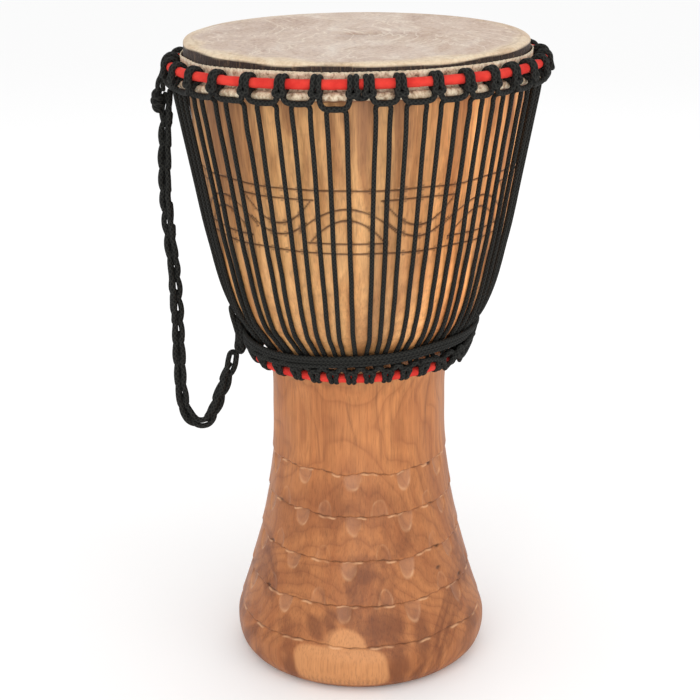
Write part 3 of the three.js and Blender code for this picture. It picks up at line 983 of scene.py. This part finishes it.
def crown_hitch(deg, left_rise, right_rise, rng):
    """One cow hitch over the crown ring, from the scallop on its left to the scallop on its right."""
    reach = CLOTH_R + LOOP_CORD_R - 0.4
    down = np.array([(8.8, 170, 560.7), (6.6, 170.6, 561.2), (4.4, 171.4, 563.4), (3, 171.8, 567.2),
                     (2.4, 170.8, 571), (2.2, 168.4, 573.8)])
    lifted = np.array([1, 1, 0.8, 0.5, 0, 0])
    wrap = []
    for a in np.radians([-100, -130, -165, 160, 125, 90, 55, 20, -5]):
        wrap.append((2.2, CROWN_R + reach * math.cos(a), CROWN_Z + reach * math.sin(a)))
    front = [(2.5, 173.4, 577.6), (3.5, 173.9, 575.8), (3.6, 174.4, 573.8), (1.8, 174.7, 572.9)]
    left = np.concatenate([down, wrap, front])
    right = left.copy()
    left[:6, 2] += left_rise * lifted
    right[:6, 2] += right_rise * lifted
    left[:, 0] += rng.uniform(-0.25, 0.25)
    left[6:, 2] += rng.uniform(-0.3, 0.3)
    right[6:, 2] += rng.uniform(-0.3, 0.3)
    return np.concatenate([sideways(deg, CROWN_R, left, -1), sideways(deg, CROWN_R, right, 1)[::-1]])


def build_crown_loops():
    rng = np.random.default_rng(5)
    angles = hitch_angles()
    points = []
    for i, deg in enumerate(angles):
        before = (angles[i - 1] - (360 if i == 0 else 0) + deg) / 2
        middle = (deg + following(angles, i)) / 2
        hitch = crown_hitch(deg, scallop_rise(before), scallop_rise(middle), rng)
        if i + 1 < len(angles) and angles[i + 1] - deg < 6:
            hitch = hitch[:-4]
            points.append(hitch)
            continue
        if i and deg - angles[i - 1] < 6:
            hitch = hitch[4:]
        points.append(hitch)
        low = SCALLOP_Z + scallop_rise(middle) + rng.uniform(-0.4, 0.4)
        points.append(around(np.array([middle]), SCALLOP_R, low))
    path = smooth_path(lean(np.concatenate(points)), 0.9)
    return rope_piece("crown_loop_braid", [path], LOOP_CORD_R + 0.25, 12, "drum", "crown_loop_cord")


def build_base_loops():
    """Cow hitches under the base ring, with the cord arching over the ring at each foot of the rope."""
    rng = np.random.default_rng(8)
    points = []
    for i, deg in enumerate(FEET):
        knot = (deg + following(FEET, i)) / 2
        rows = [(5.4, 106.4, 319.6), (3.4, 104, 317.4)]
        for a in np.radians([80, 110, 145, 180, -145, -110, -70, -30, 5]):
            sunk = 0.6 + 2.0 * max(0, -math.sin(a)) + 1.2 * max(0, math.cos(a))
            reach = CLOTH_R + LOOP_CORD_R - sunk
            rows.append((2.2, BASE_R + reach * math.cos(a), BASE_Z + reach * math.sin(a)))
        rows += [(2.9, 104.6, 312.8), (3.2, 105.8, 315.6), (1.5, 106.6, 317.2)]
        rows = np.array(rows) + [0, 0, rng.uniform(-0.3, 0.3)]
        points.append(around(np.array([deg]), 107.2, 321.8 + rng.uniform(-0.3, 0.3)))
        points.append(sideways(knot, BASE_R, rows, -1))
        points.append(sideways(knot, BASE_R, rows, 1)[::-1])
    path = smooth_path(base_lean(np.concatenate(points)), 0.9)
    return rope_piece("base_loop_braid", [path], LOOP_CORD_R + 0.2, 12, "drum", "base_loop_cord")


def leg_points(foot_deg, top_deg, rng):
    """A leg of the tuning rope, up the shell and then straight to its scallop."""
    on_shell = np.array([324, 332, 341, 350, 360, 375, 392, 410])
    straight = np.array([432, 475, 520, 540, 553])
    slope = np.gradient(shell_radius(on_shell), on_shell)
    lift = (ROPE_R + 0.25) * np.hypot(1, slope)
    z = np.concatenate([[320.6], on_shell, straight])
    straight_r = LEG_LEAVES_R + (straight - LEG_LEAVES_Z) * LEG_SLOPE
    r = np.concatenate([[101.8], shell_radius(on_shell) + lift, straight_r])
    swerve = clamp((z - 320) / 26) * LEG_SWERVE
    share = swerve + clamp((z - 346) / 212) * (1 - LEG_SWERVE)
    bend = np.sin(np.pi * share) * rng.uniform(-0.3, 0.3) + rng.uniform(-0.12, 0.12, len(z))
    return around(foot_deg + (top_deg - foot_deg) * share + bend, r, z)


def build_tuning_rope():
    rng = np.random.default_rng(9)
    points = []
    for i, deg in enumerate(STATIONS):
        up_deg = deg + leg_half(i)
        down_deg = following(STATIONS, i) - leg_half(i + 1)
        points.append(around(np.array([FEET[i]]), 100.8, 318.2))
        points.append(leg_points(FEET[i] + LEG_FOOT_HALF, up_deg, rng))
        middle = (up_deg + down_deg) / 2
        over = np.array([up_deg + 0.1, up_deg + 0.8, middle, down_deg - 0.8, down_deg - 0.1])
        over_z = np.array([557.6, 559.2, 559.2, 559.2, 557.6]) + scallop_rise(middle)
        points.append(around(over, np.array([164.9, 165.7, 165.7, 165.7, 164.9]), over_z))
        points.append(leg_points(following(FEET, i) - LEG_FOOT_HALF, down_deg, rng)[::-1])
    path = smooth_path(lean(np.concatenate(points)), 2)
    return rope_piece("tuning_rope_braid", [path], ROPE_R, 10, "drum", "tuning_rope")


def build_waist():
    """The spare rope wound round the waist over the legs, a little unevenly."""
    t = np.arange(0, WAIST_TURNS * 360, 4)
    a = np.radians(t)
    deg = WAIST_FROM_DEG + t
    rise = hermite(wrap_deg(deg), WAIST_DEG, WAIST_RISE)
    z = WAIST_LOW_Z + WAIST_PITCH * t / 360 + rise + 0.3 * np.sin(a * 1.37) + 0.25 * np.sin(a * 3.1)
    right = line_at(wrap_deg(deg) - 85, 40)
    r = np.maximum(shell_radius(z) + 9.6 - 2.6 * right, 107.8 - 1.6 * right) + 0.2 * np.sin(a * 5.3)
    path = smooth_path(around(deg, r, z), 1.5)
    return rope_piece("waist_wrap_braid", [path], ROPE_R + 0.1, 12, "drum", "waist_wraps")


def build_rope_end():
    """Where the spare rope is tied off: along under the wraps, round the base ring and through itself."""
    rows = [
        (30, 109.6, 322), (38, 109, 321), (44, 108, 317), (47, 106.6, 312), (49, 103.6, 305.6),
        (51, 105.2, 309), (54, 108.4, 317), (57, 110.6, 324), (60, 109.6, 319), (62, 106.8, 312),
        (64, 103.4, 305.6), (66, 104.6, 310), (68, 107.2, 318), (71, 110.2, 325.5), (73, 108.6, 320),
        (75, 105.6, 313), (77, 102.6, 307), (79, 104, 312), (79, 107, 319), (75, 110.6, 326),
        (68, 111.6, 327.4), (61, 111, 323.4), (55, 109.8, 317), (59, 109, 313), (66, 107.6, 313.4),
        (74, 107.4, 318), (81, 108.8, 323.5), (87, 110.6, 328.5), (92, 111, 331.5),
    ]
    deg, r, z = np.array(rows, float).T
    path = smooth_path(around(deg, r, z + 1), 1)
    return rope_piece("rope_end_tied", [path], ROPE_R + 0.1, 12, "drum", "rope_end_knot")


# ---- strap ----
STITCH_PITCH = 21.0
STITCH_OVERHANG = 9.0  # how far the last loop reaches past its own pitch
# One stitch of the chain: [to the side, along, outwards] in mm; the next starts one pitch further on.
STITCH = [
    (-1.6, 0, -1.6), (-2.1, 4.6, 0.3), (-3.1, 10, 2), (-3.7, 16.5, 2.3), (-3.5, 22.5, 1.2),
    (-2.6, 27.2, -0.6), (0, 29.4, -1.6), (2.6, 27.2, -0.6), (3.5, 22.5, 1.2), (3.7, 16.5, 2.3),
    (3.1, 10, 2), (2.1, 4.6, 0.3), (1.7, 0, -1.6), (1.3, -1.6, -3.2), (0.3, 1.6, -4.7),
    (-0.5, 9, -4.9), (-1.4, 16, -4),
]


def build_strap():
    """The strap: a single cord pulled through itself in a chain, hung along the CAD route."""
    route = smooth_path([(x, 0, z) for x, z in STRAP_ROUTE], 1)
    along = np.arange(len(route)) * np.linalg.norm(route[1] - route[0])
    length = along[-1]
    stitches = int(length // STITCH_PITCH)
    pitch = (length - STITCH_OVERHANG) / stitches
    rng = np.random.default_rng(13)
    rows = []
    for k in range(stitches):
        stretch = rng.uniform(0.94, 1.07)
        for side, forward, out in STITCH:
            rows.append((side * stretch, k * pitch + forward * pitch / STITCH_PITCH, out))
    rows = np.array(rows)
    rows[:, 1] = np.clip(rows[:, 1] + 1.5, 0, length)
    tangent = unit(np.gradient(route, axis=0))
    outwards = np.cross(tangent, (0, 1, 0))
    turn = 0.5 * np.sin(along / 47) + 0.35 * np.sin(along / 19 + 1)
    where = np.clip(np.searchsorted(along, rows[:, 1]), 0, len(route) - 1)
    at = np.stack([np.interp(rows[:, 1], along, route[:, k]) for k in range(3)], axis=1)
    face = np.array([0, -1, 0])
    cos_t, sin_t = np.cos(turn[where])[:, None], np.sin(turn[where])[:, None]
    side_axis = outwards[where] * cos_t + face * sin_t
    out_axis = face * cos_t - outwards[where] * sin_t
    points = at + side_axis * rows[:, :1] + out_axis * rows[:, 2:]
    path = smooth_path(points, 0.8)
    piece = rope_piece("carry_strap_chain", [path], STRAP_CORD_R, 10, "strap", "carry_strap")
    return piece


def coiled(centre, half, turns, cord_r):
    """The line of a cord wound in a knot inside a box of half sizes, its end tucked up the middle."""
    t = np.linspace(0, 1, int(turns * 16))
    bulge = np.sin(np.pi * clamp(t * 0.9 + 0.05)) ** 0.6
    a = t * turns * 2 * math.pi
    wound = np.stack([(half[0] - cord_r) * bulge * np.cos(a), (half[1] - cord_r) * bulge * np.sin(a),
                      (half[2] - cord_r) * (1 - 2 * t) + 1.6 * np.sin(a)], axis=1)
    tail = [(0.6, 0.4, -half[2] * 0.5), (0.2, -0.3, 0), (-0.3, 0.2, half[2] * 0.7)]
    return smooth_path(np.concatenate([wound, tail]) + centre, 0.8)


def build_strap_lump():
    """The knot that the strap hangs from."""
    path = coiled((-180.4, -1.5, 543), (6.8, 6.8, 11), 3, 2.9)
    return rope_piece("strap_top_lump", [path], 2.9, 12, "strap", "strap_top_knot")


def build_strap_hitch():
    """The strap's end tied round the base ring."""
    tied = [
        (-109.6, -3, 304), (-111.4, -4, 310), (-113.4, -5, 317), (-116.4, -5, 329), (-119, -4, 339),
        (-120, -1, 346), (-117.4, 3, 344), (-114, 4, 337), (-111.4, 4, 327), (-110.2, 3, 316),
        (-109.8, 1, 305.6), (-112.2, -2, 301.5), (-115.6, -1, 304.6), (-115, 0, 314),
        (-114.8, 0, 325), (-116.6, -1, 336), (-112.6, -6, 331), (-110.4, -7, 320), (-110.8, -6, 312),
    ]
    return rope_piece("strap_bottom_hitch", [smooth_path(tied, 0.8)], 2.6, 12, "drum", "strap_bottom_knot")


def build_strap_tie():
    """The doubled cord that ties the strap's knot to the crown ring: (radius, height) over the ring."""
    rows = [
        (178.8, 556.2), (179.4, 558), (178.8, 565), (175.8, 570.8), (174.2, 576), (173.8, 581.6),
        (171.4, 586.2), (167, 587.6), (162.8, 586.2), (160.8, 582), (161.4, 576.4), (166.5, 573.8),
        (171.4, 571.8), (174.4, 566), (174.8, 556.2),
    ]
    paths = []
    for shift in (-0.75, 0.75):
        points = np.stack([around(STRAP_TIE_DEG + shift, r, z) for r, z in rows])
        paths.append(smooth_path(lean(points), 0.9))
    return rope_piece("strap_tie_loop", paths, 2.1, 10, "drum", "strap_top_tie")


# ---- stage ----
def build_stage():
    corners = [(-1, -1), (1, -1), (1, 1), (-1, 1)]
    vertices = [(x * FLOOR_HALF, y * FLOOR_HALF, FLOOR_Z) for x, y in corners]
    floor = make_piece("floor", vertices, [(0, 1, 2, 3)], floor_material())


def area_light(name, at, target, size, power):
    data = bpy.data.lights.new(name, "AREA")
    data.shape = "RECTANGLE"
    data.size, data.size_y = size
    data.energy = power
    light = bpy.data.objects.new(name, data)
    bpy.context.scene.collection.objects.link(light)
    light.location = at
    direction = np.array(target) - np.array(at)
    light.rotation_euler = (math.acos(-direction[2] / np.linalg.norm(direction)), 0,
                            math.atan2(direction[0], -direction[1]) + math.pi)


def build_lights():
    area_light("key", (-1.3, -2.1, 1.7), (0, 0, 0.35), (1.2, 1.2), KEY_W)
    area_light("fill", (1.9, -1.6, 1.3), (0, 0, 0.35), (1.6, 1.6), FILL_W)
    area_light("back", (0.3, 1.8, 1.9), (0, 0, 0.4), (1.6, 1.2), BACK_W)
    area_light("front", (0.1, -2.4, 0.55), (0, 0, 0.42), (1.8, 0.8), FRONT_W)
    world = bpy.data.worlds.new("studio")
    bpy.context.scene.world = world
    world.use_nodes = True
    background = world.node_tree.nodes["Background"]
    background.inputs["Color"].default_value = (1, 1, 1, 1)
    background.inputs["Strength"].default_value = SKY


def build_camera():
    data = bpy.data.cameras.new("camera")
    data.lens = CAMERA_LENS
    data.sensor_width = 36.0
    data.clip_end = 50
    camera = bpy.data.objects.new("camera", data)
    bpy.context.scene.collection.objects.link(camera)
    pitch = Matrix.Rotation(math.radians(90 - CAMERA_PITCH), 4, "X")
    roll = Matrix.Rotation(math.radians(CAMERA_ROLL), 4, "Z")
    camera.matrix_world = Matrix.Translation([c * MM for c in CAMERA_AT]) @ (pitch @ roll)
    bpy.context.scene.camera = camera


def finish_steel():
    for name in ("flesh_ring", "crown_ring_rod", "base_ring_rod"):
        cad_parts[name].data.materials.clear()
        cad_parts[name].data.materials.append(STEEL)


build_camera()
build_strap()
build_strap_lump()
build_strap_hitch()
build_strap_tie()
build_shell()
build_drumhead()
build_cloth("crown_cloth_wound", CROWN_R, CROWN_Z, 46, "crown_ring_cloth", 1)
build_cloth("base_cloth_wound", BASE_R, BASE_Z, 30, "base_ring_cloth", 2)
build_crown_loops()
build_base_loops()
build_tuning_rope()
build_waist()
build_rope_end()
finish_steel()
build_stage()
build_lights()
bpy.context.scene.view_settings.view_transform = "Standard"
